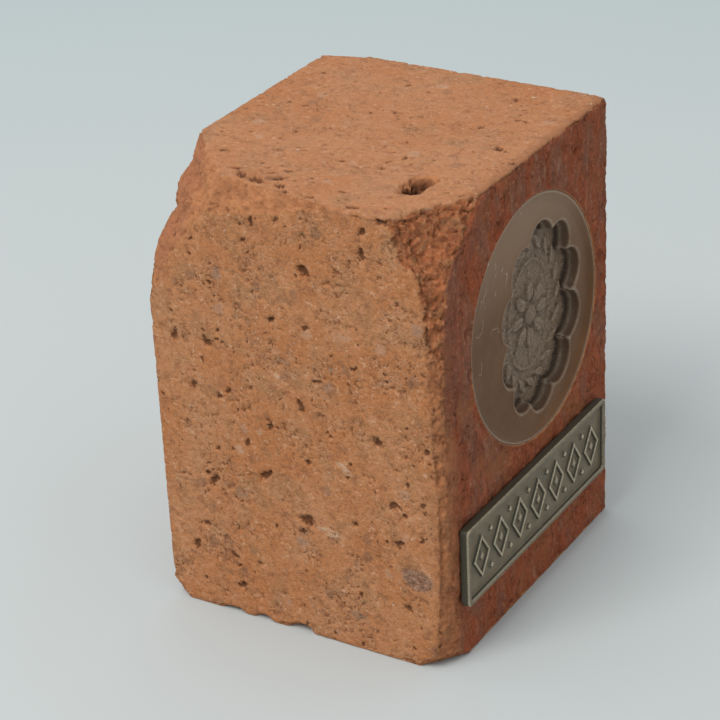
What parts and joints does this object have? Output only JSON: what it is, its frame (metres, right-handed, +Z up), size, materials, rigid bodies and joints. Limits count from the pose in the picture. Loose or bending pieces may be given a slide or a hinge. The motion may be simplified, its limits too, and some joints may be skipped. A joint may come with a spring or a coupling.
{
  "type": "brick keepsake",
  "caption": "Piece sawn square from an old fired brick, with a broken corner, a slightly oval medallion set in its moulded face and a small metal plate below it.",
  "frame": {"origin": "middle of the flat base that the piece stands on", "axes": "+Z up along the longest side, +X out of the moulded face that carries the medallion and the plate, -Y out of the sawn face with the broken corner"},
  "size_m": [0.07, 0.074, 0.1],
  "materials": {
    "fired_clay": "matt, porous, sawn and unglazed",
    "cast_medallion": "smooth taupe casting with a low sheen",
    "plate_metal": "dark grey-green patina, raised rim and ornament rubbed bright"
  },
  "bodies": {
    "root": {"brick_block": "fired_clay", "medallion": "cast_medallion", "name_plate": "plate_metal"}
  },
  "joints": []
}
